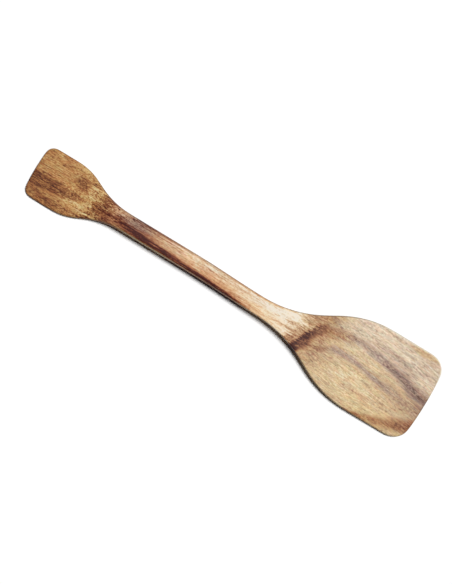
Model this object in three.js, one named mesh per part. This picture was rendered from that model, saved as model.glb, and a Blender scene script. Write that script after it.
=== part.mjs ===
// A double-ended kitchen spatula carved from one board of hardwood: a broad flat blade at +X,
// a narrow flat blade at -X and a slim rounded handle between them.
// Millimetres. +X runs along the length, +Y across it, +Z up, and the flat sole lies on z = 0.

import * as THREE from 'three';

const { lerp, smoothstep, degToRad } = THREE.MathUtils;

// Driving dimensions
const OVERALL_LENGTH = 330;

const HANDLE_WIDTH = 14.3;
const HANDLE_THICKNESS = 11;
const HANDLE_CROWN_LAND = 10; // flat strip left along the top, between the rounded edges
const HANDLE_SOLE_LAND = 7; // flat strip left along the underside
const NECK_DRIFT = 1.4; // the hand-sawn broad neck strays this far from the centre line

const BROAD_WIDTH = 67.4;
const BROAD_SIDE_LENGTH = 47.5; // from the end edge back to the shoulder
const BROAD_CORNER_RADIUS = 13;
const BROAD_END_RADIUS = 270; // gentle bow of the end edge
const BROAD_SHOULDER_RADIUS = 78;
const BROAD_FLARE_RUN = 9.5; // straight run between the shoulder and the neck
const BROAD_NECK_RADIUS = 92;
const BROAD_TIP_THICKNESS = 3.6;
const BROAD_ROOT_THICKNESS = 7.2;
const BROAD_SCOOP_SETBACK = 27; // from the shoulder to the foot of the scooped neck
const BROAD_SCOOP_LENGTH = 68;

const NARROW_WIDTH = 40.3;
const NARROW_SIDE_LENGTH = 25.5;
const NARROW_CORNER_RADIUS = 7;
const NARROW_END_RADIUS = 190;
const NARROW_SHOULDER_RADIUS = 42;
const NARROW_FLARE_RUN = 4.5;
const NARROW_NECK_RADIUS = 62;
const NARROW_TIP_THICKNESS = 2.6;
const NARROW_ROOT_THICKNESS = 4.8;
const NARROW_SCOOP_SETBACK = 16;
const NARROW_SCOOP_LENGTH = 42;

const BLADE_TOP_ROUND = 1.6; // how far the softened edge reaches in over the top of a blade
const BLADE_SOLE_ROUND = 1.3; // and in under it

// Facets
const CURVE_STEP = degToRad(3);
const LENGTH_STEP = 5;
const TOP_STEPS = 7;
const SOLE_STEPS = 5;
const SAME_POINT = 0.01; // spine points closer than this are one point

const broad = {
  tipX: OVERALL_LENGTH / 2,
  inward: -1, // the way from the end edge to the handle, along X
  width: BROAD_WIDTH,
  side: BROAD_SIDE_LENGTH,
  corner: BROAD_CORNER_RADIUS,
  end: BROAD_END_RADIUS,
  shoulder: BROAD_SHOULDER_RADIUS,
  run: BROAD_FLARE_RUN,
  neck: BROAD_NECK_RADIUS,
  tip: BROAD_TIP_THICKNESS,
  root: BROAD_ROOT_THICKNESS,
  scoopFoot: BROAD_SIDE_LENGTH + BROAD_SCOOP_SETBACK,
  scoopLength: BROAD_SCOOP_LENGTH,
};

const narrow = {
  tipX: -OVERALL_LENGTH / 2,
  inward: 1,
  width: NARROW_WIDTH,
  side: NARROW_SIDE_LENGTH,
  corner: NARROW_CORNER_RADIUS,
  end: NARROW_END_RADIUS,
  shoulder: NARROW_SHOULDER_RADIUS,
  run: NARROW_FLARE_RUN,
  neck: NARROW_NECK_RADIUS,
  tip: NARROW_TIP_THICKNESS,
  root: NARROW_ROOT_THICKNESS,
  scoopFoot: NARROW_SIDE_LENGTH + NARROW_SCOOP_SETBACK,
  scoopLength: NARROW_SCOOP_LENGTH,
};

// The angle at which a shoulder arc, a straight run and a neck arc, each tangent to the next,
// narrow the blade to the handle, and the length that they take.
function flare(blade) {
  const radii = blade.shoulder + blade.neck;
  const drop = (blade.width - HANDLE_WIDTH) / 2;
  const angle = Math.asin((drop - radii) / Math.hypot(radii, blade.run)) + Math.atan2(radii, blade.run);
  const length = radii * Math.sin(angle) + blade.run * Math.cos(angle);
  return { angle, length };
}

const arc = (x, y, radius, from, to) =>
  new THREE.EllipseCurve(x, y, radius, radius, from, to, to < from);

// Half of a blade's plan, from the middle of its end edge to the start of the handle.
// First coordinate: distance in from the end edge. Second: distance from the centre line.
function bladePlan(blade) {
  const half = blade.width / 2;
  const cornerY = half - blade.corner;
  const cornerX = blade.end - Math.sqrt((blade.end - blade.corner) ** 2 - cornerY ** 2);
  const cornerAngle = Math.atan2(cornerY, cornerX - blade.end);
  const { angle, length } = flare(blade);
  const neckX = blade.side + length;
  const neckY = HANDLE_WIDTH / 2 + blade.neck;
  const endEdge = arc(blade.end, 0, blade.end, Math.PI, cornerAngle);
  const corner = arc(cornerX, cornerY, blade.corner, cornerAngle, Math.PI / 2);
  const shoulderY = half - blade.shoulder;
  const shoulder = arc(blade.side, shoulderY, blade.shoulder, Math.PI / 2, Math.PI / 2 - angle);
  const neck = arc(neckX, neckY, blade.neck, -Math.PI / 2 - angle, -Math.PI / 2);
  const side = new THREE.LineCurve(corner.getPoint(1), shoulder.getPoint(0));
  const run = new THREE.LineCurve(shoulder.getPoint(1), neck.getPoint(0));
  return { curves: [endEdge, corner, side, shoulder, run, neck], fanCentre: cornerX };
}

// Points along a chain of plan curves, each with the unit normal that points in to the centre line.
function tracePlan(curves) {
  const points = [];
  curves.forEach((curve, index) => {
    const turn = Math.abs((curve.aEndAngle ?? 0) - (curve.aStartAngle ?? 0));
    const steps = Math.ceil(Math.max(turn / CURVE_STEP, curve.getLength() / LENGTH_STEP));
    for (let step = index === 0 ? 0 : 1; step <= steps; step += 1) {
      const at = curve.getPoint(step / steps);
      const tangent = curve.getTangent(step / steps);
      points.push({ x: at.x, y: at.y, nx: tangent.y, ny: -tangent.x });
    }
  });
  return points;
}

const toRowFrame = (blade) => ({ x, y, nx, ny }) => ({
  x: blade.tipX + blade.inward * x,
  y,
  nx: blade.inward * nx,
  ny,
});

const shoulderX = (blade) => blade.tipX + blade.inward * blade.side;
const neckX = (blade) => blade.tipX + blade.inward * (blade.side + flare(blade).length);
const handleMiddleX = (neckX(broad) + neckX(narrow)) / 2;

// The upper half of the outline, +Y, from the broad end edge to the narrow one.
function upperOutline() {
  const broadSide = tracePlan(bladePlan(broad).curves).map(toRowFrame(broad));
  const narrowSide = tracePlan(bladePlan(narrow).curves).map(toRowFrame(narrow)).reverse();
  const half = HANDLE_WIDTH / 2;
  const grip = new THREE.LineCurve(
    new THREE.Vector2(neckX(broad), half),
    new THREE.Vector2(neckX(narrow), half),
  );
  const steps = Math.ceil(grip.getLength() / LENGTH_STEP);
  const gripPoints = grip.getSpacedPoints(steps).slice(1, -1);
  const gripSide = gripPoints.map(({ x, y }) => ({ x, y, nx: 0, ny: -1 }));
  return [...broadSide, ...gripSide, ...narrowSide];
}

// How far the centre line strays from y = 0 at a place along the length.
function drift(x) {
  const rise = smoothstep(x, handleMiddleX, neckX(broad));
  const fall = smoothstep(x, neckX(broad), shoulderX(broad));
  return -NECK_DRIFT * (rise - fall);
}

// How much of the handle is left at a place near a blade: 0 on the flat blade, 1 past the scoop.
function handleShare(blade, x) {
  const fromTip = Math.abs(x - blade.tipX);
  return smoothstep(fromTip, blade.scoopFoot, blade.scoopFoot + blade.scoopLength);
}

// The blade's even taper, from the end edge through the foot of the scoop.
function bladeThickness(blade, x) {
  const fromTip = Math.abs(x - blade.tipX);
  return lerp(blade.tip, blade.root, fromTip / blade.scoopFoot);
}

const nearestBlade = (x) => (x > handleMiddleX ? broad : narrow);

function thickness(x) {
  const blade = nearestBlade(x);
  return lerp(bladeThickness(blade, x), HANDLE_THICKNESS, handleShare(blade, x));
}

// How far the rounded edge reaches in from the outline: as far as the flat strip on the handle,
// so that it fills the hand, and only a softened rim on the blades.
function edgeRound(point, bladeRound, handleLand) {
  const handleRound = (HANDLE_WIDTH - handleLand) / 2;
  return lerp(bladeRound, handleRound, handleShare(nearestBlade(point.x), point.x));
}

// The edge section at one outline point: from the rim, the widest line at half the thickness,
// a quarter ellipse runs up to the top and another down to the sole.
function edgeSection(point, round, steps, heightAt) {
  const section = [];
  for (let step = 1; step <= steps; step += 1) {
    const angle = (step / steps) * (Math.PI / 2);
    const inset = round * (1 - Math.cos(angle));
    const x = point.x + point.nx * inset;
    const y = point.y + point.ny * inset;
    section.push(new THREE.Vector3(x, y, heightAt(x, Math.sin(angle))));
  }
  return section;
}

const topHeight = (x, rise) => (thickness(x) / 2) * (1 + rise);
const soleHeight = (x, fall) => (thickness(x) / 2) * (1 - fall);

// The spine point that closes the top or sole at one outline point. Past the centre of the rounded
// corners every outline point shares one spine point, so the end of a blade closes in a fan.
const spineEnds = {
  high: broad.tipX + broad.inward * bladePlan(broad).fanCentre,
  low: narrow.tipX + narrow.inward * bladePlan(narrow).fanCentre,
};

function spinePoint(last, heightAt) {
  const x = Math.min(Math.max(last.x, spineEnds.low), spineEnds.high);
  return new THREE.Vector3(x, 0, heightAt(x, 1));
}

// The skin: a rim loop, with loops that climb from it to the top spine and drop to the sole spine.
function spatulaGeometry() {
  const positions = [];
  const indices = [];
  const addVertex = ({ x, y, z }) => positions.push(x, y + drift(x), z) / 3 - 1;
  const addTriangle = (a, b, c) => {
    if (a !== b && b !== c && c !== a) indices.push(a, b, c);
  };

  const upper = upperOutline();
  const columns = upper.map((point, index) => {
    const topRound = edgeRound(point, BLADE_TOP_ROUND, HANDLE_CROWN_LAND);
    const soleRound = edgeRound(point, BLADE_SOLE_ROUND, HANDLE_SOLE_LAND);
    return {
      onAxis: index === 0 || index === upper.length - 1,
      rim: new THREE.Vector3(point.x, point.y, topHeight(point.x, 0)),
      top: edgeSection(point, topRound, TOP_STEPS, topHeight),
      sole: edgeSection(point, soleRound, SOLE_STEPS, soleHeight),
    };
  });

  // Spine vertices, shared by the two sides and by all the points of a fan.
  const addSpine = (face, heightAt) => {
    const made = [];
    return columns.map((column) => {
      const point = spinePoint(column[face].at(-1), heightAt);
      const same = made.find((entry) => Math.abs(entry.point.x - point.x) < SAME_POINT);
      if (same) return same.index;
      const index = addVertex(point);
      made.push({ point, index });
      return index;
    });
  };
  const topSpine = addSpine('top', topHeight);
  const soleSpine = addSpine('sole', soleHeight);

  // Each column of vertices runs from the sole spine round the rim to the top spine.
  const addColumn = (column, index, side) => {
    const place = (point) => addVertex({ x: point.x, y: side * point.y, z: point.z });
    const sole = column.sole.map(place).reverse();
    const rim = place(column.rim);
    const top = column.top.map(place);
    return [soleSpine[index], ...sole, rim, ...top, topSpine[index]];
  };
  const upperColumns = columns.map((column, index) => addColumn(column, index, 1));
  const lowerColumns = columns.map((column, index) =>
    column.onAxis ? upperColumns[index] : addColumn(column, index, -1));

  // The loop runs anticlockwise seen from above: +Y side to the narrow end, -Y side back.
  const loop = [...upperColumns, ...lowerColumns.slice(1, -1).reverse()];
  loop.forEach((column, index) => {
    const next = loop[(index + 1) % loop.length];
    for (let step = 0; step + 1 < column.length; step += 1) {
      addTriangle(column[step], next[step], next[step + 1]);
      addTriangle(column[step], next[step + 1], column[step + 1]);
    }
  });

  const geometry = new THREE.BufferGeometry();
  geometry.setAttribute('position', new THREE.Float32BufferAttribute(positions, 3));
  geometry.setIndex(indices);
  geometry.computeVertexNormals();
  return geometry;
}

const oiledWood = new THREE.MeshStandardMaterial({ color: 0xc39a6b, roughness: 0.48, metalness: 0 });

const spatulaBody = new THREE.Mesh(spatulaGeometry(), oiledWood);
spatulaBody.name = 'spatula_body';

const spatula = new THREE.Group();
spatula.name = 'wooden_spatula';
spatula.add(spatulaBody);

export default spatula;
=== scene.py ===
# %% [markdown]
# A double-ended wooden spatula, lying flat on a white floor and seen from straight above.
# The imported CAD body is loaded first. It fixes the size and place of everything below, so each
# later step measures that body and never moves it.

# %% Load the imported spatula
import math

import bmesh
import bpy
import numpy
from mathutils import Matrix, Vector
from mathutils.bvhtree import BVHTree


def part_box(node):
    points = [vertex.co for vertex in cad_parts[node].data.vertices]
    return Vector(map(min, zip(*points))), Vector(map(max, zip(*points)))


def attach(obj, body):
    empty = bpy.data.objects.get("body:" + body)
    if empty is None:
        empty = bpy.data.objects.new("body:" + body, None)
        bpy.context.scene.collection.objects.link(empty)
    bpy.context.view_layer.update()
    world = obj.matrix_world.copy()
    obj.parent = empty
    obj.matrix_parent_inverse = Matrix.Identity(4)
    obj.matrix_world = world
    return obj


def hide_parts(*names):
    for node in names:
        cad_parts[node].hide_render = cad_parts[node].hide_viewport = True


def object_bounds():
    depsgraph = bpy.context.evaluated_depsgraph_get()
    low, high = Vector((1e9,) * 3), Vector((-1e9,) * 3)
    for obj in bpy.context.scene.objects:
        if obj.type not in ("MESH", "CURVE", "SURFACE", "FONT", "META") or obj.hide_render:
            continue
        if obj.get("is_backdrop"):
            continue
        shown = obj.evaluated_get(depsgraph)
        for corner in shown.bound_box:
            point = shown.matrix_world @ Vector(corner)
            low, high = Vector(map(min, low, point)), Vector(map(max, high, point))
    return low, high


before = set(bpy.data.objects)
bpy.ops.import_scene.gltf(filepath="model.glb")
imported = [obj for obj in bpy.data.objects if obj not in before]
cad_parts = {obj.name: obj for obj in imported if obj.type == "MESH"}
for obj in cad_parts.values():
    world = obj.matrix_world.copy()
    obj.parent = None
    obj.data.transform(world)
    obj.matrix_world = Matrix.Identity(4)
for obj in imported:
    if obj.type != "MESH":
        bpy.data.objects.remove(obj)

MM = 0.001
cad_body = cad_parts["spatula_body"]
cad_low, cad_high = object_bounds()
body_low, body_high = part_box("spatula_body")
print("CAD box, mm:", [round(side / MM, 2) for side in cad_high - cad_low])

# %% [markdown]
# The camera hangs over the spatula and looks straight down, as a product photograph's does. The
# long axis of the spatula slants across the picture, so the camera is turned about its own view
# line and the spatula stays where the CAD put it. A long lens at about a metre keeps the thin
# object free of perspective. The height of the picture on the floor sets the distance.

# %% Camera
PICTURE_HEIGHT = 423.5 * MM
PICTURE_CENTRE = Vector((-0.5 * MM, -5.2 * MM, 0.0))
PICTURE_TURN = math.radians(31.24)
LENS = 85.0

camera_data = bpy.data.cameras.new("overhead_camera")
camera_data.lens = LENS
camera = bpy.data.objects.new("overhead_camera", camera_data)
bpy.context.scene.collection.objects.link(camera)
camera_height = PICTURE_HEIGHT * LENS / camera_data.sensor_width
camera.location = PICTURE_CENTRE + Vector((0.0, 0.0, camera_height))
camera.rotation_euler = (0.0, 0.0, PICTURE_TURN)
bpy.context.scene.camera = camera
print("camera height, m:", round(camera_height, 3))

# %% [markdown]
# A section of the spatula is a slab with rounded edges: thick on the handle, thin and flat on the
# blades. Its numbers could be typed in again, but then the two models could drift apart. A probe
# that is dropped on to the CAD body, as a caliper would be, reads them off instead. In Blender that
# is a ray, cast against a tree of the body's faces.

# %% Probe the CAD body
PROBE_START = 0.2
BESIDE_MIDDLE = 0.01 * MM

cad_surface = BVHTree.FromObject(cad_body, bpy.context.evaluated_depsgraph_get())


def probe(start, way):
    """The place where a straight probe first meets the CAD body, or None."""
    return cad_surface.ray_cast(Vector(start), Vector(way))[0]


def face_height(x, y, side):
    """Height of the top (side 1) or the sole (side -1) at a place in plan."""
    place = probe((x, y, side * PROBE_START), (0.0, 0.0, -side))
    return place.z if place else None


print("top of the handle, mm:", round(face_height(0.0, BESIDE_MIDDLE, 1) / MM, 2))

# %% [markdown]
# One section needs its two rims, its top and sole, and the distance that each rounded edge reaches
# in. All but the reach are read off directly. The reach is felt for by halving: a quarter ellipse
# has climbed to 0.87 of its height half way along its reach, so the probe searches for the place
# with that height. A finer way would be to fit a curve to many probes, but the edges are true
# ellipses, and one place tells all. Beside the broad neck the top edge was only just eased, so that
# the wood stays bright up to its rim, and there a share of the reach is kept.

# %% Measure one section
HALF_REACH_RISE = math.sqrt(0.75)
REACH_TRIES = 14
EASED_PLACES = [0.0 * MM, 26.0 * MM, 60.0 * MM, 125.0 * MM]
EASED_SHARES = [1.0, 0.45, 0.45, 1.0]


def edge_reach(x, rim_y, centre_y, rim_z, face_z, side):
    """How far the rounded edge of the top (side 1) or the sole (side -1) reaches in from the rim."""
    near, far = 0.0, abs(rim_y - centre_y)
    for _ in range(REACH_TRIES):
        middle = (near + far) / 2
        y = rim_y + math.copysign(middle, centre_y - rim_y)
        height = face_height(x, y, side)
        rise = 0.0 if height is None else (height - rim_z) / (face_z - rim_z)
        near, far = (middle, far) if rise < HALF_REACH_RISE else (near, middle)
    return min(2 * far, abs(rim_y - centre_y))


def measure_section(x):
    """Width, centre, height and edge rounding of the CAD body at one place along its length."""
    top = face_height(x, BESIDE_MIDDLE, 1)
    sole = face_height(x, BESIDE_MIDDLE, -1)
    rim_z = (top + sole) / 2
    upper = probe((x, PROBE_START, rim_z), (0.0, -1.0, 0.0)).y
    lower = probe((x, -PROBE_START, rim_z), (0.0, 1.0, 0.0)).y
    centre = (upper + lower) / 2
    eased = numpy.interp(x, EASED_PLACES, EASED_SHARES)
    return {
        "x": x,
        "centre_y": centre,
        "half_width": (upper - lower) / 2,
        "rim_z": rim_z,
        "half_height": (top - sole) / 2,
        "reach": {
            1: edge_reach(x, upper, centre, rim_z, top, 1) * eased,
            -1: edge_reach(x, upper, centre, rim_z, sole, -1),
        },
    }


print("handle, mm wide:", round(2 * measure_section(0.0)["half_width"] / MM, 2))

# %% [markdown]
# A boat builder sets the frames close together where the hull turns fast. In the same way these
# sections stand about 5 mm apart on the handle and the blades, and close up towards the rounded
# tips. Even steps would be simpler, but the corners of the blades would come out chipped.

# %% Sections along the length
TIP_STEPS = [step * MM for step in (0.06, 0.3, 0.8, 1.5, 2.6, 4.2, 6.5, 9.5, 13.0, 17.0)]
STATION_GAP = 5.0 * MM

inner_low = body_low.x + TIP_STEPS[-1]
inner_high = body_high.x - TIP_STEPS[-1]
inner_count = round((inner_high - inner_low) / STATION_GAP)
inner = [inner_low + (inner_high - inner_low) * i / inner_count for i in range(1, inner_count)]
narrow_tip = [body_low.x + step for step in TIP_STEPS]
broad_tip = [body_high.x - step for step in TIP_STEPS]
stations = sorted(narrow_tip + inner + broad_tip)
sections = [measure_section(x) for x in stations]
print("sections measured:", len(sections))

# %% [markdown]
# Blender's operators act on what is selected, and by hand one selects with the mouse. A script picks
# the points by their number or their place instead. In edit mode they are in a bmesh. It is opened
# again after each operator, because an operator may build it anew.

# %% Select points in edit mode
def open_skin(mesh):
    """The mesh as it is in edit mode, with its points ready to be picked by number."""
    edit = bmesh.from_edit_mesh(mesh)
    edit.verts.ensure_lookup_table()
    return edit


def select_only(edit, points):
    """Selects these points of an edit mesh, and the edges that lie between them."""
    for point in edit.verts:
        point.select = False
    for edge in edit.edges:
        edge.select = False
    for point in points:
        point.select = True
    edit.select_flush(True)


print("points are selected with:", select_only.__name__)

# %% [markdown]
# The body is lofted as a boat is, from ribs. Each rib starts as a circle. Its four quarters are
# sized to the rounded edges and slid apart to the corners of the section, which turns the circle
# into a slab with round edges. A box with loop cuts could be pushed into the same shape, but its
# edges would need many support loops to go from a thick handle to thin blades.

# %% One rib
RIB_QUARTER = 6
RIB_POINTS = 4 * RIB_QUARTER
HALF_STEP = math.pi / RIB_POINTS
OUTER_RADIUS = 1 / math.cos(HALF_STEP)


def add_rib(mesh, section):
    """Adds a circle across the spatula and slides its quarters out to a section's corners."""
    middle = Vector((section["x"], section["centre_y"], section["rim_z"]))
    bpy.ops.mesh.primitive_circle_add(
        vertices=RIB_POINTS,
        radius=OUTER_RADIUS,
        location=middle,
        rotation=(math.pi / 2, HALF_STEP, math.pi / 2),
    )
    edit = open_skin(mesh)
    quarters = {}
    for point in edit.verts[-RIB_POINTS:]:
        key = (1 if point.co.y > middle.y else -1, 1 if point.co.z > middle.z else -1)
        quarters.setdefault(key, []).append(point.index)
    for (side, face), members in quarters.items():
        edit = open_skin(mesh)
        reach = section["reach"][face]
        select_only(edit, [edit.verts[i] for i in members])
        bpy.ops.transform.resize(value=(1.0, reach, section["half_height"]), center_override=middle)
        bpy.ops.transform.translate(value=(0.0, side * (section["half_width"] - reach), 0.0))


print("points to a rib:", RIB_POINTS)

# %% [markdown]
# Planks turn the frames of a boat into a hull, and here each rib is bridged to the one before it with
# a band of faces. A bridge needs just the two rings of edges to be selected. It could wait until all
# the ribs stand, but then Blender would have to guess which rings are neighbours.

# %% Skin
SAME_PLACE = 1e-6


def bridge_last_two(mesh):
    """Joins the newest rib to the one before it with a band of faces."""
    edit = open_skin(mesh)
    select_only(edit, edit.verts[-2 * RIB_POINTS:])
    for edge in edit.edges:
        apart = abs(edge.verts[0].co.x - edge.verts[1].co.x)
        edge.select = edge.select and apart < SAME_PLACE
    bpy.ops.mesh.bridge_edge_loops()


bpy.ops.object.select_all(action="DESELECT")
mesh = bpy.data.meshes.new("spatula")
spatula = bpy.data.objects.new("spatula", mesh)
bpy.context.scene.collection.objects.link(spatula)
bpy.context.view_layer.objects.active = spatula
spatula.select_set(True)
bpy.ops.object.mode_set(mode="EDIT")
bpy.ops.mesh.select_mode(type="VERT")
for number, section in enumerate(sections):
    add_rib(mesh, section)
    if number:
        bridge_last_two(mesh)
bpy.ops.object.mode_set(mode="OBJECT")
print("skin:", len(mesh.vertices), "points", len(mesh.polygons), "faces")

# %% [markdown]
# The skin is still open at both tips, and each flat face is one long strip from edge to edge. Real
# blade tips close in a thin rounded edge, so the first and last ribs are filled. The flats are cut
# into strips along the length, or the smoothing that follows would pull the edges inwards. Creases
# would hold the edges too, but as sharp lines.

# %% Close the tips and cut the flats
FLAT_CUTS = 7

bpy.ops.object.mode_set(mode="EDIT")
for rib_x in (stations[0], stations[-1]):
    edit = open_skin(mesh)
    select_only(edit, [point for point in edit.verts if abs(point.co.x - rib_x) < SAME_PLACE])
    bpy.ops.mesh.edge_face_add()

edit = open_skin(mesh)
select_only(edit, [])
for edge in edit.edges:
    first, second = (point.co for point in edge.verts)
    nearest = min(sections, key=lambda section: abs(section["x"] - first.x))
    along = abs(first.x - second.x) > SAME_PLACE
    astride = (first.y - nearest["centre_y"]) * (second.y - nearest["centre_y"]) < 0
    edge.select = astride and not along
bpy.ops.mesh.select_mode(type="EDGE")
bpy.ops.mesh.subdivide(number_cuts=FLAT_CUTS)
bpy.ops.mesh.select_mode(type="VERT")
bpy.ops.mesh.select_all(action="SELECT")
bpy.ops.mesh.normals_make_consistent(inside=False)
bpy.ops.object.mode_set(mode="OBJECT")
print("closed skin:", len(mesh.vertices), "points", len(mesh.polygons), "faces")

# %% [markdown]
# Sanding leaves no facet on a wooden spatula, so the skin is smoothed by subdivision: each face is
# split in four, twice, and the new points settle on a smooth surface. A bevel could round the edges
# instead, but the ribs already carry their true shape. The modifier is applied, so that the mesh
# itself is the smooth one.

# %% Smooth and sand
SMOOTH_LEVELS = 2

smooth = spatula.modifiers.new("smooth", "SUBSURF")
smooth.levels = SMOOTH_LEVELS
smooth.render_levels = SMOOTH_LEVELS
bpy.ops.object.modifier_apply(modifier=smooth.name)
bpy.ops.object.shade_smooth()
print("smoothed:", len(mesh.vertices), "points", len(mesh.polygons), "faces")

# %% [markdown]
# A finish in Blender is a tree of nodes, and most of the nodes below do one small sum. They could be
# placed and wired one at a time, but a formula is easier to read and to change. So one class wraps
# a socket, and each operator on it adds the Math node for that sum.

# %% Formulas for shader nodes
class Wire:
    """A shader socket that can stand in a formula."""

    def __init__(self, bench, socket):
        self.bench = bench
        self.socket = socket

    def maths(self, operation, first, second=0.0):
        """A Math node on two values."""
        return self.bench.node("ShaderNodeMath", {"operation": operation}, {0: first, 1: second})

    def __add__(self, other):
        return self.maths("ADD", self, other)

    __radd__ = __add__

    def __sub__(self, other):
        return self.maths("SUBTRACT", self, other)

    def __rsub__(self, other):
        return self.maths("SUBTRACT", other, self)

    def __mul__(self, other):
        return self.maths("MULTIPLY", self, other)

    __rmul__ = __mul__

    def __truediv__(self, other):
        return self.maths("DIVIDE", self, other)

    def __rtruediv__(self, other):
        return self.maths("DIVIDE", other, self)

    def __abs__(self):
        return self.maths("ABSOLUTE", self)


print("formulas are written with:", Wire.__name__)

# %% [markdown]
# The nodes of a finish are laid out on its tree as tools on a bench. One method adds any of them: it
# takes the kind of node, sets it up, and then fills its sockets with values or links. Adding each
# node by hand in the editor gives the same tree, but a board needs hundreds of them. The Mix node has
# sockets of the same names for numbers, vectors and colours, so those for colours go by number.

# %% A bench for nodes
MIX_AMOUNT, MIX_UNDER, MIX_OVER, MIX_RESULT = 0, 6, 7, 2


class Bench:
    """The node tree of a material or a world, to which one method adds any node."""

    def __init__(self, owner):
        owner.use_nodes = True
        self.tree = owner.node_tree

    def feed(self, node, sockets):
        """Gives sockets of a node a value each, or a link from a Wire."""
        for name, value in sockets.items():
            if isinstance(value, Wire):
                self.tree.links.new(value.socket, node.inputs[name])
            else:
                node.inputs[name].default_value = value

    def setting(self, made, name, value):
        """Sets up one thing on a node: the stops of a ramp, the knots of a curve or a plain setting."""
        if name == "stops":
            first, *between, last = value
            elements = made.color_ramp.elements
            elements[0].color = first[1]
            elements[1].color = last[1]
            for at, colour in between:
                elements.new(at).color = colour
        elif name == "knots":
            first, *between, last = value
            line = made.mapping.curves[0].points
            line[0].location = first
            line[1].location = last
            for at, height in between:
                line.new(at, height)
            for knot in line:
                knot.handle_type = "AUTO_CLAMPED"
            made.mapping.extend = "HORIZONTAL"
            made.mapping.update()
        else:
            setattr(made, name, value)

    def node(self, kind, settings=None, sockets=None, out=0):
        """Adds a node, sets it up, fills its sockets and gives one of its outputs."""
        made = self.tree.nodes.new(kind)
        for name, value in (settings or {}).items():
            self.setting(made, name, value)
        self.feed(made, sockets or {})
        return Wire(self, made.outputs[out])

    def mix(self, amount, under, over, blend="MIX"):
        """One colour laid over another."""
        settings = {"data_type": "RGBA", "blend_type": blend}
        sockets = {MIX_AMOUNT: amount, MIX_UNDER: under, MIX_OVER: over}
        return self.node("ShaderNodeMix", settings, sockets, out=MIX_RESULT)


print("nodes are added on a:", Bench.__name__)

# %% [markdown]
# A white stage has two jobs: it should look white, and it should leave the shadow dark. In a studio,
# black cards beside the table soak up the light that the stage would throw back into the shadow. In
# Blender the Light Path node does it without cards: it says what kind of ray is asking. A ray from
# the camera, or from gloss or glass, gets the white stage, and a ray that only gathers light gets
# a dim one. The floor and the sky below both use this.

# %% What a ray is for
RAYS_TO_THE_EYE = ("Is Camera Ray", "Is Glossy Ray", "Is Transmission Ray")


def larger(first, second):
    """The larger of a wire's value and another."""
    return first.maths("MAXIMUM", first, second)


def shows_stage(bench):
    """1 for a ray that shows the stage to the eye, 0 for one that only gathers light."""
    shown, *others = (bench.node("ShaderNodeLightPath", out=kind) for kind in RAYS_TO_THE_EYE)
    for ray in others:
        shown = larger(shown, ray)
    return shown


print("rays that see a white stage:", len(RAYS_TO_THE_EYE))

# %% [markdown]
# The floor is one large white sheet under the spatula. It could curve up into a backdrop, but the
# camera looks straight down and never sees where it ends.

# %% Floor
FLOOR_SIZE = 8.0
FLOOR_DROP = 0.05 * MM
FLOOR_WHITE = (0.97, 0.97, 0.97, 1.0)
FLOOR_BOUNCE = (0.2, 0.2, 0.2, 1.0)
FLOOR_ROUGHNESS = 0.9
FLOOR_GLOSS = 0.0

bpy.ops.object.select_all(action="DESELECT")
bpy.ops.mesh.primitive_plane_add(size=FLOOR_SIZE, location=(0.0, 0.0, -FLOOR_DROP))
floor = bpy.context.active_object
floor.name = "floor"
floor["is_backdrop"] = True
floor_paint = bpy.data.materials.new("floor_paint")
floor_bench = Bench(floor_paint)
floor_bench.feed(
    floor_paint.node_tree.nodes["Principled BSDF"],
    {
        "Base Color": floor_bench.mix(shows_stage(floor_bench), FLOOR_BOUNCE, FLOOR_WHITE),
        "Roughness": FLOOR_ROUGHNESS,
        "Specular IOR Level": FLOOR_GLOSS,
    },
)
floor.data.materials.append(floor_paint)
print("floor:", floor.name, "m across:", FLOOR_SIZE)

# %% [markdown]
# The shadow in such a picture tells where its light is: it is thin, black where it touches the
# wood, and soft at its outer edge, so one large lamp hangs high over the right of the picture.
# Blender's sun lamp does that with three numbers: where it stands, how high, and how wide it looks
# from below. A weak second lamp from the other side fills the rounded lower flank. It lights the
# spatula alone, as a cream card held close to it would, and so it doesn't wash out the shadow. A
# white one would do as well from above, but the flank of the handle would look grey from the front.

# %% Key and fill light
KEY_HEADING = math.radians(50.0)
KEY_HEIGHT = math.radians(67.5)
KEY_STRENGTH = 3.55
KEY_SPREAD = math.radians(19.0)
FILL_HEADING = math.radians(232.0)
FILL_HEIGHT = math.radians(26.0)
FILL_STRENGTH = 0.3
FILL_SPREAD = math.radians(60.0)
FILL_COLOUR = (1.0, 0.82, 0.66)


def add_sun(name, heading, height, strength, spread):
    """A far lamp that shines from a heading and a height; a wider spread gives softer shadows."""
    lamp = bpy.data.lights.new(name, "SUN")
    lamp.energy = strength
    lamp.angle = spread
    sun = bpy.data.objects.new(name, lamp)
    sun.rotation_euler = (0.0, math.pi / 2 - height, heading)
    bpy.context.scene.collection.objects.link(sun)
    print(name, "strength:", strength)
    return sun


add_sun("key_light", KEY_HEADING, KEY_HEIGHT, KEY_STRENGTH, KEY_SPREAD)
fill = add_sun("fill_light", FILL_HEADING, FILL_HEIGHT, FILL_STRENGTH, FILL_SPREAD)
fill.data.color = FILL_COLOUR
lit_by_fill = bpy.data.collections.new("lit_by_fill")
lit_by_fill.objects.link(spatula)
fill.light_linking.receiver_collection = lit_by_fill

# %% [markdown]
# Round the floor there is only the world. The camera and the gloss of the wood should see it white,
# but as a light it has to stay weak, or it would fill the shadow from every side. A white dome round
# the stage would look the same to the camera, but it would light the shadow too.

# %% Sky
SKY_WHITE = (1.0, 1.0, 1.0, 1.0)
SKY_LIGHT = 0.015

world = bpy.data.worlds.new("studio")
bpy.context.scene.world = world
sky_bench = Bench(world)
sky_bench.feed(
    world.node_tree.nodes["Background"],
    {"Color": SKY_WHITE, "Strength": larger(shows_stage(sky_bench), SKY_LIGHT)},
)
bpy.context.scene.view_settings.view_transform = "Standard"
print("sky as a light:", SKY_LIGHT)

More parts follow.
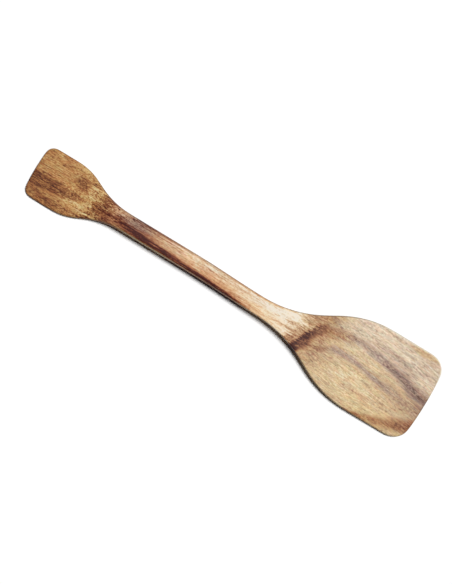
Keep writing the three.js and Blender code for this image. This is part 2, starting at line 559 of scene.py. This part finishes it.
# %% [markdown]
# Wood is a solid pattern: the same growth layers show on the top, the edges and the sole. A picture
# wrapped round the spatula would break at every edge, so the material works the pattern out from
# each point's place in the board, its Object coordinates. They are turned into millimetres here, and
# every place and width in the figure below is in millimetres too.

# %% Place in the board
oiled_hardwood = bpy.data.materials.new("oiled_hardwood")
wood = Bench(oiled_hardwood)
place = wood.node("ShaderNodeTexCoord", out="Object")
x, y, z = (wood.node("ShaderNodeSeparateXYZ", sockets={"Vector": place}, out=axis) / MM for axis in "XYZ")
print("wood nodes so far:", len(wood.tree.nodes))

# %% [markdown]
# The figure of a board is drawn with a few brushes. Noise that is stretched along the grain gives fibres
# and streaks. A soft step gives an edge. A curve over the length says how dark, how wide or where a streak
# is from one end to the other, which is easier to shape than a formula.

# %% Brushes
NOISE_SPREAD = 4.0


def noise(along, across, through, detail=2.0, roughness=0.5, shift=0.0):
    """Smooth chance values about zero, stretched along the grain; shift keeps two noises apart."""
    spot = wood.node("ShaderNodeCombineXYZ", sockets={"X": along + shift, "Y": across, "Z": through})
    sockets = {"Vector": spot, "Scale": 1.0, "Detail": detail, "Roughness": roughness}
    raw = wood.node("ShaderNodeTexNoise", {"noise_dimensions": "3D"}, sockets)
    return raw * NOISE_SPREAD - NOISE_SPREAD / 2


def soft(value, low, high):
    """0 below low, 1 above high and an easy slope between."""
    settings = {"interpolation_type": "SMOOTHSTEP"}
    return wood.node("ShaderNodeMapRange", settings, {"Value": value, "From Min": low, "From Max": high})


def curve(points, along=x):
    """A value along the spatula: a smooth line through points of (place in mm, value)."""
    first, last = points[0][0], points[-1][0]
    low = min(value for spot, value in points)
    span = max(value for spot, value in points) - low
    knots = [((spot - first) / (last - first), (value - low) / span) for spot, value in points]
    share = (along - first) / (last - first)
    return wood.node("ShaderNodeFloatCurve", {"knots": knots}, {"Value": share}) * span + low


print("brushes:", noise.__name__, soft.__name__, curve.__name__)

# %% [markdown]
# Grain comes first, because everything after it leans on it. The fibres run along the board, drift
# a little and slope on the broad blade. Coarse noise gives growth bands, finer noise gives fibres,
# and the finest gives pores, the short dark dashes of an open-grained hardwood. Where the board was
# scooped to thin the blades, the cut runs across the growth layers, so fine layers in z show there
# as lines across the neck. One noise could do for all of it, but wood isn't the same at every scale.
# In x / 60 the 60 is about the length of a fibre in mm, and in row / 3.6 the 3.6 is about its width.

# %% Grain
blade_share = curve([(-125, 1.0), (-100, 0.0), (45, 0.0), (70, 1.0)])
slope = curve([(75, 0.0), (165, 9.0)])
drift = noise(x / 60, y / 14, z / 8, shift=3.0)
row = y + slope + drift * (0.5 + 1.2 * blade_share)
coarse = noise(x / 60, row / 3.6, z / 2.6, detail=3.0, roughness=0.55, shift=11.0)
middle = noise(x / 16, row / 1.5, z / 1.4, roughness=0.55, shift=17.0)
threads = noise(x / 30, row / 0.8, z / 0.8, roughness=0.55, shift=29.0)
fine = noise(x / 5.8, row / 0.66, z / 0.66, roughness=0.6, shift=23.0)
speck = noise(x / 1.6, row / 0.76, z / 0.76, detail=1.0, shift=31.0)
pores = soft(noise(x / 2.4, row / 0.4, z / 0.4, detail=0.0, shift=41.0), 0.2, 0.9)
layer_bend = noise(x / 38, y / 9, z / 20, shift=71.0)
layers = noise(x / 120, y / 22, (z + 0.8 * layer_bend) / 0.3, shift=57.0)
print("wood nodes with grain:", len(wood.tree.nodes))

# %% [markdown]
# The same tree shows its grain more or less from place to place: calm on the flat blades, streaky on
# the handle, mottled where the necks were scooped. One strength for the whole board would be simpler,
# but it would look like printed paper. So each kind of grain has its own weight, and the weights
# change along the length. A mix of the grain without such weights is kept to fray edges with.

# %% Strength of the grain
narrow_flat = curve([(-145, 1.0), (-130, 0.0)])
narrow_scoop = curve([(-142, 0.0), (-130, 1.0), (-118, 1.0), (-106, 0.3), (-98, 0.0)])
broad_scoop = curve([(42, 0.0), (54, 1.0), (78, 1.0), (92, 0.0)])
grain = (
    coarse * (0.21 - 0.12 * blade_share)
    + middle * (0.16 - 0.11 * blade_share)
    + threads * (0.14 - 0.07 * blade_share + 0.05 * narrow_flat)
    + fine * (0.18 - 0.03 * narrow_flat - 0.09 * narrow_scoop)
    + speck * (0.16 - 0.015 * blade_share - 0.03 * narrow_flat + 0.09 * narrow_scoop)
    + layers * (0.03 + 0.05 * broad_scoop + 0.06 * narrow_scoop)
    + pores * 0.12
)
ragged = coarse * 0.4 + middle * 0.35 + fine * 0.3 + speck * 0.25
print("wood nodes with weighted grain:", len(wood.tree.nodes))

# %% [markdown]
# A board like this one has pale sapwood and dark heartwood in the same piece, so it carries long
# streaks and blurred patches. A streak is drawn as a distance from a line, and a patch as a distance
# from the middle of an oval. The grain is added to that distance before the edge is cut, and so the
# edge frays along the fibres. Painting them on by hand would look freer, but would need a picture.
# A streak ends where its width comes down to nothing, or nearly, because the distance is divided
# by it.

# %% Bands and patches
NOTHING = 0.001
PATCH_TORN = 1.5
PATCH_EDGE = 1.8


def band(line, half_width, edge=0.6, torn=1.0):
    """How much a streak covers: 1 on its line, 0 outside, with an edge that the grain breaks up."""
    away = abs(row - slope - line) / half_width + ragged * torn
    return 1 - soft(away, 1 - edge, 1 + edge)


def patch(at, reach, tilt=0.0):
    """How much an oval covers: at is its middle, and reach is half its length and half its width."""
    past_middle = x - at[0]
    along = past_middle / reach[0]
    across = (y - at[1] - past_middle * tilt) / reach[1]
    return 1 - soft(along * along + across * across + ragged * PATCH_TORN, 0.0, PATCH_EDGE)


print("drawn with:", band.__name__, patch.__name__)

# %% [markdown]
# The wood darkens from one end of the board to the other: pale at the broad neck, brown on the narrow
# blade. Part of that change is painted sheen: the broad end is made paler, as a sheen that grows brighter
# towards that end would make it. One curve along the length says how dark it is, from 0 for the palest
# sapwood to 1 for the darkest heartwood. A blend between two ends would be simpler, but this board is
# palest in between. The curve is read at a place that the grain pushes to and fro, because no tree changes
# colour along a straight line.

# %% Tone and painted sheen along the board
ragged_x = x + coarse * 5 + middle * 3 + speck * 2
# Partly the wood's own tone and partly painted sheen, which makes the broad end paler.
tone_and_sheen = curve(
    [
        (-165, 0.60),
        (-150, 0.62),
        (-138, 0.58),
        (-128, 0.55),
        (-118, 0.58),
        (-108, 0.71),
        (-96, 0.67),
        (-76, 0.62),
        (-65, 0.47),
        (-52, 0.33),
        (-35, 0.27),
        (-10, 0.36),
        (5, 0.28),
        (20, 0.17),
        (40, 0.11),
        (52, 0.26),
        (64, 0.38),
        (85, 0.37),
        (110, 0.32),
        (140, 0.33),
        (165, 0.36),
    ],
    along=ragged_x,
)
print("wood nodes with tone:", len(wood.tree.nodes))

# %% [markdown]
# The mark of this handle is a nearly black streak that starts thin near the narrow blade and slips
# down to the lower edge. It has a dark core, a softer fringe and a warm glow round both. Noise that
# is cut off at a level would give dark streaks too, but no one could say where. Three curves put
# this one in its place: its line, its strength and its width.

# %% Streak of the handle
FRINGE_RISE = 0.9
FRINGE_HALF_WIDTH = 3.0
HALO_RISE = 1.8
HALO_HALF_WIDTH = 5.8

streak_line = curve(
    [
        (-112, -1.5),
        (-98, -2.1),
        (-88, -2.3),
        (-75, -3.6),
        (-55, -4.7),
        (-35, -5.6),
        (-15, -6.3),
        (5, -7.3),
        (28, -8.7),
    ]
)
streak_strength = curve(
    [
        (-108, 0.0),
        (-96, 0.17),
        (-86, 0.36),
        (-72, 0.64),
        (-54, 0.82),
        (-40, 0.92),
        (-12, 1.05),
        (0, 1.0),
        (26, 0.0),
    ],
    along=x + coarse * 7 + middle * 5,
)
streak_width = curve([(-112, 1.4), (-85, 1.9), (-60, 2.1), (-35, 1.8), (0, 1.6)])
halo_strength = curve([(-116, 0.0), (-104, 1.0), (10, 1.0), (35, 0.0)])
streak = band(streak_line, streak_width, edge=0.6, torn=0.6) * streak_strength
streak_fringe = band(streak_line + FRINGE_RISE, FRINGE_HALF_WIDTH, edge=0.9, torn=0.8) * streak_strength
halo = band(streak_line + HALO_RISE, HALO_HALF_WIDTH, edge=0.9) * halo_strength
print("wood nodes with the streak:", len(wood.tree.nodes))

# %% [markdown]
# Some of the figure keeps to the edges of the handle. A thin brown line runs along the upper one. The
# lower one has a golden strip where the streak starts, and beside the streak a pale grey line of painted
# sheen on the rounded rim. Beside the broad neck the rounded lower rim is orange and made a little paler
# as painted light, and below 8 mm both flanks are darker and orange as painted shade. Lines drawn by hand
# could drift off the edge, so these take their place from the measured sections.

# %% Edges of the handle
def measured(value, start, end):
    """A curve of what the sections between two places measure, in mm along the spatula."""
    within = [section for section in sections if start * MM < section["x"] < end * MM]
    return curve([(section["x"] / MM, value(section) / MM) for section in within])


def upper_outline(section):
    """Where the outline runs on the +y side."""
    return section["centre_y"] + section["half_width"]


def lower_outline(section):
    """Where the outline runs on the -y side."""
    return section["centre_y"] - section["half_width"]


from_upper_edge = y - measured(upper_outline, -105, 60)
from_lower_edge = y - measured(lower_outline, -105, 65)
upper_rim_strength = curve(
    [
        (-100, 0.0),
        (-85, 1.0),
        (-50, 1.6),
        (-35, 1.0),
        (-20, 0.7),
        (6, 1.2),
        (16, 1.6),
        (30, 2.2),
        (40, 2.1),
        (52, 0.0),
    ]
)
upper_rim = soft(from_upper_edge, -2.2, -0.9) * upper_rim_strength
beside_neck = curve([(4, 0.0), (20, 1.0), (46, 1.0), (58, 0.0)])
# Painted light: the rounded lower rim beside the broad neck is made a little paler, and orange.
orange_lit_lower_rim = (1 - soft(from_lower_edge, 0.8, 3.0)) * beside_neck
# Painted shade: below 8 mm the flanks beside the broad neck are darker and orange.
painted_shade_flank = (1 - soft(z, 3, 8)) * beside_neck
beside_streak = curve([(-92, 0.0), (-72, 1.0), (4, 1.0), (24, 0.0)])
# Painted sheen: a pale grey line on the rounded lower rim beside the streak.
painted_sheen_rim = (1 - soft(from_lower_edge, 0.3, 1.3)) * soft(z + ragged * 0.6, 7, 8.6) * beside_streak
beside_start = curve([(-104, 0.0), (-92, 1.0), (-62, 1.0), (-44, 0.0)])
gold_strip = (1 - soft(from_lower_edge, 1.2, 2.6)) * beside_start
print("wood nodes with the edges of the handle:", len(wood.tree.nodes))

# %% [markdown]
# The rest of the handle's figure is soft patches. The upper half is a little darker at one place and
# paler at another, a mauve patch lies above the start of the streak, and the upper flank is pale at
# both necks. Stronger grain could stand in for them, but it would fall anywhere. At the end all of
# the handle is added up: what is added darkens the wood, and what is taken away makes it paler.

# %% Patches of the handle
upper_dark = patch(at=(-48, 4.5), reach=(15, 3))
upper_pale = patch(at=(4, 4.5), reach=(40, 3))
upper_palest = patch(at=(-4, 4.2), reach=(20, 2))
upper_half = upper_dark * 0.06 - upper_pale * 0.06 - upper_palest * 0.08
mauve = patch(at=(-79, 3.1), reach=(14, 3.4))
pale_flank = (
    patch(at=(-92, 5.5), reach=(9, 2.8))
    + patch(at=(52, 8), reach=(12, 5)) * 0.3
    + patch(at=(42, 5.5), reach=(22, 6.5)) * 0.35
)
# The painted light of the lower rim, the painted shade of the flanks and the painted sheen of the rim
# beside the streak are added in here too.
handle_figure = (
    streak * 0.45
    + streak_fringe * 0.22
    + halo * 0.05
    + upper_rim * 0.16
    - pale_flank * 0.26
    - orange_lit_lower_rim * 0.04
    + upper_half
    + painted_shade_flank * 0.22
    - painted_sheen_rim * 0.65
    - gold_strip * 0.06
)
print("wood nodes with the handle:", len(wood.tree.nodes))

# %% [markdown]
# The narrow blade is amber on its upper half and brown on its lower half, with a dark band between
# them that breaks up into specks at the scoop. Two pale mottled patches, a dark one and a thin dark
# line lie where the scoop cuts through the layers. Turning the grain up there would give specks but
# no such order, so each is a band or a patch of its own.

# %% Narrow blade
narrow_band = band(
    curve([(-165, -5.5), (-150, -4.8), (-140, -4.5), (-130, -3), (-118, -2)]),
    curve([(-165, 5.0), (-150, 4.2), (-140, 3.2), (-130, 2.4), (-118, NOTHING)]),
    edge=0.4,
    torn=0.35,
)
narrow_lower = (1 - soft(x, -140, -118)) * (1 - soft(y + ragged * 3, -16, -7))
narrow_dark = patch(at=(-128.5, 7.5), reach=(6.5, 4.5))
narrow_line = band(
    curve([(-133, 12.0), (-114, 11.0)]),
    curve([(-134, NOTHING), (-127, 0.8), (-119, 0.7), (-113, NOTHING)]),
)
narrow_pale = patch(at=(-120, -6.5), reach=(10.0, 4.5)) + patch(at=(-117, 8.0), reach=(6.0, 6.0))
narrow_figure = (
    narrow_band * 0.21
    + narrow_lower * 0.13
    + narrow_dark * 0.22
    + narrow_line * 0.13
    - narrow_pale * 0.14
)
print("wood nodes with the narrow blade:", len(wood.tree.nodes))

# %% [markdown]
# On the broad blade the streaks part like a river. One climbs from the neck, bends over and falls to
# the end edge, and grows wider on the way. A fainter one runs below it, a reddish one crosses the
# lower corner, and a short grey one lies above. A wave texture gives parting bands with one node, but
# evenly spaced, so each streak is drawn by its own line and width.

# %% Streaks of the broad blade
broad_line = curve(
    [
        (70, 7.2),
        (75, 9),
        (83, 11),
        (92, 12.2),
        (103, 13.4),
        (115, 12),
        (128, 9.6),
        (140, 7),
        (152, 3),
        (165, 0),
    ]
)
broad_width = curve(
    [(66, NOTHING), (76, 3.2), (92, 2.4), (110, 2.0), (128, 2.4), (142, 3.6), (154, 4.4), (165, 4.8)]
)
broad_strength = curve(
    [(68, 0.03), (76, 0.1), (84, 0.22), (102, 0.21), (126, 0.29), (142, 0.37), (165, 0.34)]
)
broad_band = band(broad_line, broad_width, edge=0.8) * broad_strength
lower_band = band(
    curve([(70, -8), (80, -4.5), (88, 0), (100, 0.8), (112, -1.5), (126, -4.5), (150, -8), (165, -9)]),
    curve([(66, NOTHING), (76, 1.0), (88, 2.6), (100, 2.0), (125, 2.2), (142, 4.0), (165, 5.0)]),
    edge=0.9,
    torn=1.6,
)
corner_band = band(
    curve([(118, -33), (138, -29), (150, -25.5), (165, -20)]),
    curve([(112, NOTHING), (132, 2.4), (150, 3.8), (165, 4.8)]),
    edge=0.8,
)
upper_streak = band(
    curve([(112, 18), (126, 17), (146, 13.5)]),
    curve([(108, NOTHING), (122, 2.4), (138, 2.0), (152, NOTHING)]),
    edge=0.9,
)
print("wood nodes with the broad blade's streaks:", len(wood.tree.nodes))

# %% [markdown]
# Between the streaks the wood of the broad blade is pale near the neck, along the upper side and at the
# end, and dull at three places lower down. Along the upper side a bright rim is painted highlight, where
# the rounded edge faces the lamp. The corner there is darker wood, and its rounded edge carries the palest
# painted highlight of all. That edge is found by how far it is sunk below the top face, because a patch
# along it would colour the flat beside it too.

# %% Patches and rims of the broad blade
def crown_height(section):
    """Height of the top face."""
    return section["rim_z"] + section["half_height"]


top_corner = patch(at=(146, 31), reach=(12, 2.4))
pale_zone = (
    patch(at=(104, -14), reach=(22, 8))
    + patch(at=(108, 24), reach=(34, 8))
    + patch(at=(157, 9), reach=(9, 6))
)
dull_zone = (
    patch(at=(80, -9), reach=(10, 6))
    + patch(at=(157, -15), reach=(14, 14))
    + patch(at=(131, -3), reach=(14, 5))
)
crown = measured(crown_height, 60, 165)
sunk = (crown - z) / crown
# The band of the rounded edge, just below the flat top face.
rounded_edge_band = soft(sunk, 0.03, 0.1) * (1 - soft(sunk, 0.24, 0.36))
# Painted highlight: the rounded edge of the upper corner, which faces the lamp, is made the palest.
painted_highlight_edge = rounded_edge_band * soft(x, 90, 145) * soft(y, 8, 24)
from_upper_side = y - measured(upper_outline, 84, 161)
highlight_rim_strength = curve([(86, 0.0), (98, 1.0), (148, 1.0), (158, 0.0)])
# Painted highlight: a bright rim along the rounded upper side of the broad blade.
painted_highlight_rim = soft(from_upper_side, -2.6, -1.0) * highlight_rim_strength
broad_figure = (
    broad_band
    + lower_band * 0.18
    + corner_band * 0.32
    + upper_streak * 0.13
    + top_corner * 0.14
    + dull_zone * 0.07
    - pale_zone * 0.06
    # The two painted highlights make the wood paler here.
    - painted_highlight_edge * 0.45
    - painted_highlight_rim * 0.1
)
print("wood nodes with the broad blade:", len(wood.tree.nodes))

# %% [markdown]
# Where the broad neck was scooped, a layer of heartwood comes to the surface and crosses the board
# as a dark slanted bar. Its side towards the handle is crisp and its other side smears along the
# grain. A patch has the same edge all round, so here the two edges are cut apart, each with its own
# softness. The bar is darkest at the lower edge of the neck and fades into the speckled upper side.

# %% Heartwood across the broad neck
CROSSING_HALF_WIDTH = 3.9

crossing_x = curve([(-15, 60.6), (-8, 63.8), (-2, 66.6), (4, 69.6), (9, 72.4), (13, 77.5)], along=y)
crossing_strength = curve([(-15, 0.6), (-11, 0.5), (0, 0.34), (6, 0.27), (10, 0.2), (14, 0.02)], along=y)
beside = (x - crossing_x) / CROSSING_HALF_WIDTH
crossing = soft(beside + ragged * 0.3, -1.3, -0.5) * (1 - soft(beside + ragged * 1.2, 0.2, 1.8))
wide_halo = soft(beside + ragged, -3.4, -0.8) * (1 - soft(beside + ragged, 0.6, 5.5))
crossing_halo = wide_halo * (1 - soft(y, 6, 14))
neck_speckle = patch(at=(71, 15.5), reach=(13, 6), tilt=0.5)
neck_fringe = patch(at=(56, -9), reach=(4.5, 4.5))
neck_figure = crossing * crossing_strength + crossing_halo * 0.13 + neck_speckle * 0.18 + neck_fringe * 0.1
figure = tone_and_sheen + grain + handle_figure + narrow_figure + broad_figure + neck_figure
print("wood nodes with the whole figure:", len(wood.tree.nodes))

# %% [markdown]
# The figure is now one number from pale to dark, and a ramp turns it into the colour of a wood.
# Colours are written as they look on a screen, from 0 to 255, because that is how one picks them. A
# shader works with the light itself, so each is turned into its linear value first, by the usual
# curve of a screen. One could type the linear values in, but no one can picture them.

# %% Paint
SCREEN_WHITE = 255
SCREEN_KNEE = 0.04045
SCREEN_SLOPE = 12.92
SCREEN_LIFT = 0.055
SCREEN_POWER = 2.4
OPAQUE = 1.0
WOOD_STOPS = (0.0, 0.15, 0.3, 0.45, 0.6, 0.75, 0.9, 1.0)


def linear(part):
    """Red, green or blue of a screen colour as the linear value that a shader takes."""
    share = part / SCREEN_WHITE
    if share < SCREEN_KNEE:
        return share / SCREEN_SLOPE
    return ((share + SCREEN_LIFT) / (1 + SCREEN_LIFT)) ** SCREEN_POWER


def paint(value, stops):
    """A colour from a ramp of (value, screen colour), of which the first is at 0 and the last at 1."""
    stops = [(at, [linear(part) for part in colour] + [OPAQUE]) for at, colour in stops]
    return wood.node("ShaderNodeValToRGB", {"stops": stops}, {"Fac": value})


def wood_ramp(*colours):
    """The colour of one wood for every darkness of the figure, from its palest to its darkest."""
    return paint(figure, list(zip(WOOD_STOPS, colours)))


print("colours to a wood:", len(WOOD_STOPS))

# %% [markdown]
# The hue of the wood differs from place to place: amber on the narrow blade, rose and ember on the
# handle. A ramp for each is about as bright as the others at equal numbers, so that one can blend
# into another without a step. The same could be done with hue and saturation nodes, but a ramp shows
# each wood as it will look.

# %% Colours of the handle and the narrow blade
amber = wood_ramp(
    (240, 222, 180),
    (232, 207, 156),
    (218, 190, 138),
    (205, 168, 114),
    (185, 134, 83),
    (149, 96, 58),
    (98, 51, 29),
    (56, 22, 14),
)
rose = wood_ramp(
    (244, 232, 218),
    (236, 215, 190),
    (223, 190, 157),
    (206, 164, 129),
    (179, 129, 97),
    (144, 91, 66),
    (96, 40, 25),
    (58, 12, 5),
)
ember = wood_ramp(
    (246, 226, 198),
    (238, 206, 166),
    (225, 182, 142),
    (209, 158, 116),
    (184, 124, 85),
    (148, 88, 56),
    (98, 40, 23),
    (58, 12, 5),
)
print("wood nodes with three ramps:", len(wood.tree.nodes))

# %% [markdown]
# The broad blade is another part of the tree: gold sapwood, grey where the streaks run, and russet
# where the heartwood comes up. It gets three ramps of its own. The handle's three could be turned
# greyer instead, but only by the same amount from the palest wood to the darkest.

# %% Colours of the broad blade
gold = wood_ramp(
    (246, 232, 206),
    (235, 213, 175),
    (219, 192, 153),
    (200, 169, 134),
    (171, 135, 109),
    (134, 97, 77),
    (92, 54, 42),
    (50, 20, 15),
)
grey = wood_ramp(
    (246, 232, 214),
    (235, 216, 193),
    (217, 194, 170),
    (195, 170, 149),
    (165, 138, 124),
    (128, 101, 92),
    (88, 57, 49),
    (48, 22, 18),
)
russet = wood_ramp(
    (246, 232, 208),
    (234, 211, 175),
    (218, 190, 152),
    (200, 166, 125),
    (178, 132, 94),
    (144, 94, 64),
    (98, 54, 36),
    (58, 21, 14),
)
print("wood nodes with six ramps:", len(wood.tree.nodes))

# %% [markdown]
# Each of the six woods has its place, and the borders between them follow the grain. On the broad
# blade grey takes the upper half and the streaks, russet takes the neck and both corners, and a
# little amber lies along the lower side. Masks painted by hand could say this too, but the bands
# and patches above already know where the streaks are, so they serve as masks.

# %% Where the colours of the broad blade lie
border_drift = noise(x / 26, row / 2.4, z / 2.4, detail=3.0, roughness=0.6, shift=83.0)
upper_grey = soft(x + 4 * middle, 74, 100) * soft(y + slope * 0.6 + border_drift * 7, 4, 18)
lavender = lower_band * curve([(82, 0.0), (94, 1.0), (120, 1.0), (145, 0.3)])
grey_share = upper_grey + broad_band * soft(x, 96, 110) * 3 + lavender
reddish = crossing_halo + corner_band + neck_speckle + neck_fringe + soft(border_drift, 0.3, 1.2) * 0.6
red_share = (reddish + broad_band * (1 - soft(x, 92, 108)) * 4) * (1 - grey_share)
gold_and_grey = wood.mix(grey_share, gold, grey)
with_russet = wood.mix(top_corner, wood.mix(red_share, gold_and_grey, russet), russet)
lower_side = patch(at=(132, -27), reach=(24, 7))
blade = wood.mix(lower_side * 0.35, with_russet, amber)
print("wood nodes with the broad blade's colours:", len(wood.tree.nodes))

# %% [markdown]
# The handle is rose, and it turns to ember in the glow of the streak and beside the broad neck, on the
# painted light of the lower rim and the painted shade of the flanks. Amber lies along the golden strip,
# and grey on the mauve patch and on the painted sheen of the lower rim. At both necks the woods blend over
# some 20 mm. A sharp border would be simpler, but it would look like a glue line, and this spatula is one
# piece.

# %% Where the colours of the handle lie
BORDER_TORN = 8

glow = halo * curve([(-60, 0.4), (-20, 0.9), (10, 0.9), (30, 0.0)])
lower_glow = patch(at=(33, -5), reach=(15, 4))
# The orange of the painted light on the lower rim and of the painted shade on the flanks.
ember_share = glow + (orange_lit_lower_rim + painted_shade_flank) * 0.8 + upper_rim * soft(x, -30, 0) + lower_glow * 0.9
warm_handle = wood.mix(gold_strip * 0.6, wood.mix(ember_share, rose, ember), amber)
# Grey for the painted sheen on the lower rim beside the streak.
handle = wood.mix(mauve * (1 - streak) * 0.8 + painted_sheen_rim * 0.3, warm_handle, grey)
border_x = x + ragged * BORDER_TORN
handle_and_narrow = wood.mix(soft(border_x, -116, -96), amber, handle)
plain = wood.mix(soft(border_x, 44, 66), handle_and_narrow, blade)
print("wood nodes with the handle's colours:", len(wood.tree.nodes))

# %% [markdown]
# Over all the woods lie two faint tints, one from cool to warm and one from green to red. Without
# them every place of equal darkness would have the same hue, and the wood would look printed. More
# ramps could bring the same change, but a tint is one colour to multiply with, and it drifts along
# the fibres as the grain does.

# %% Tints
TINT_MIDDLE = 0.5
COOL, WARM = (234, 245, 255), (255, 248, 233)
GREENISH, REDDISH = (240, 255, 245), (255, 238, 243)

tint_strength = curve([(-15, 0.4), (5, 0.18), (50, 0.18), (66, 0.4)])


def tinted(under, drifting, low, high):
    """A colour under a tint that goes from one hue to another as a noise drifts."""
    tint_colour = paint(drifting * tint_strength + TINT_MIDDLE, [(0.0, low), (1.0, high)])
    return wood.mix(1.0, under, tint_colour, "MULTIPLY")


warmth = noise(x / 7, row / 1.7, z / 1.7, roughness=0.6, shift=91.0)
blush = noise(x / 6, row / 1.5, z / 1.5, roughness=0.6, shift=97.0)
colour = tinted(tinted(plain, warmth, COOL, WARM), blush, GREENISH, REDDISH)
print("wood nodes with colour:", len(wood.tree.nodes))

# %% [markdown]
# A spatula is finished with oil, not varnish: the oil sinks in, and the surface keeps a low, broad
# sheen that is a little uneven, because open pores drink more of it. So the gloss is weak and the
# roughness follows the grain. A very shallow bump lets the pores catch the light in a close view;
# pores cut into the mesh would need millions of faces.

# %% Finish of the wood
OIL_GLOSS = 0.15
OIL_ROUGHNESS = 0.5
BAND_ROUGHNESS = 0.04
FIBRE_ROUGHNESS = 0.03
FIBRE_RISE = 0.15
PORE_FALL = 0.5
PORE_DEPTH = 0.2 * MM
PORE_STRENGTH = 0.12

relief = fine * FIBRE_RISE - pores * PORE_FALL
bump_sockets = {"Height": relief, "Strength": PORE_STRENGTH, "Distance": PORE_DEPTH}
wood.feed(
    oiled_hardwood.node_tree.nodes["Principled BSDF"],
    {
        "Base Color": colour,
        "Roughness": OIL_ROUGHNESS + coarse * BAND_ROUGHNESS + fine * FIBRE_ROUGHNESS,
        "Specular IOR Level": OIL_GLOSS,
        "Normal": wood.node("ShaderNodeBump", sockets=bump_sockets),
    },
)
mesh.materials.append(oiled_hardwood)
print("wood nodes in all:", len(wood.tree.nodes))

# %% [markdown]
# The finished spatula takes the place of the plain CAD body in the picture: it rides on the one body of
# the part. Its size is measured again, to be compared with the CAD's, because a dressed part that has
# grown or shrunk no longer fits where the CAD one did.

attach(spatula, "root")
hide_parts("spatula_body")

visual_low, visual_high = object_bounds()
grown = (visual_high - visual_low) - (cad_high - cad_low)
print("larger than the CAD by, mm:", [round(side / MM, 3) for side in grown])
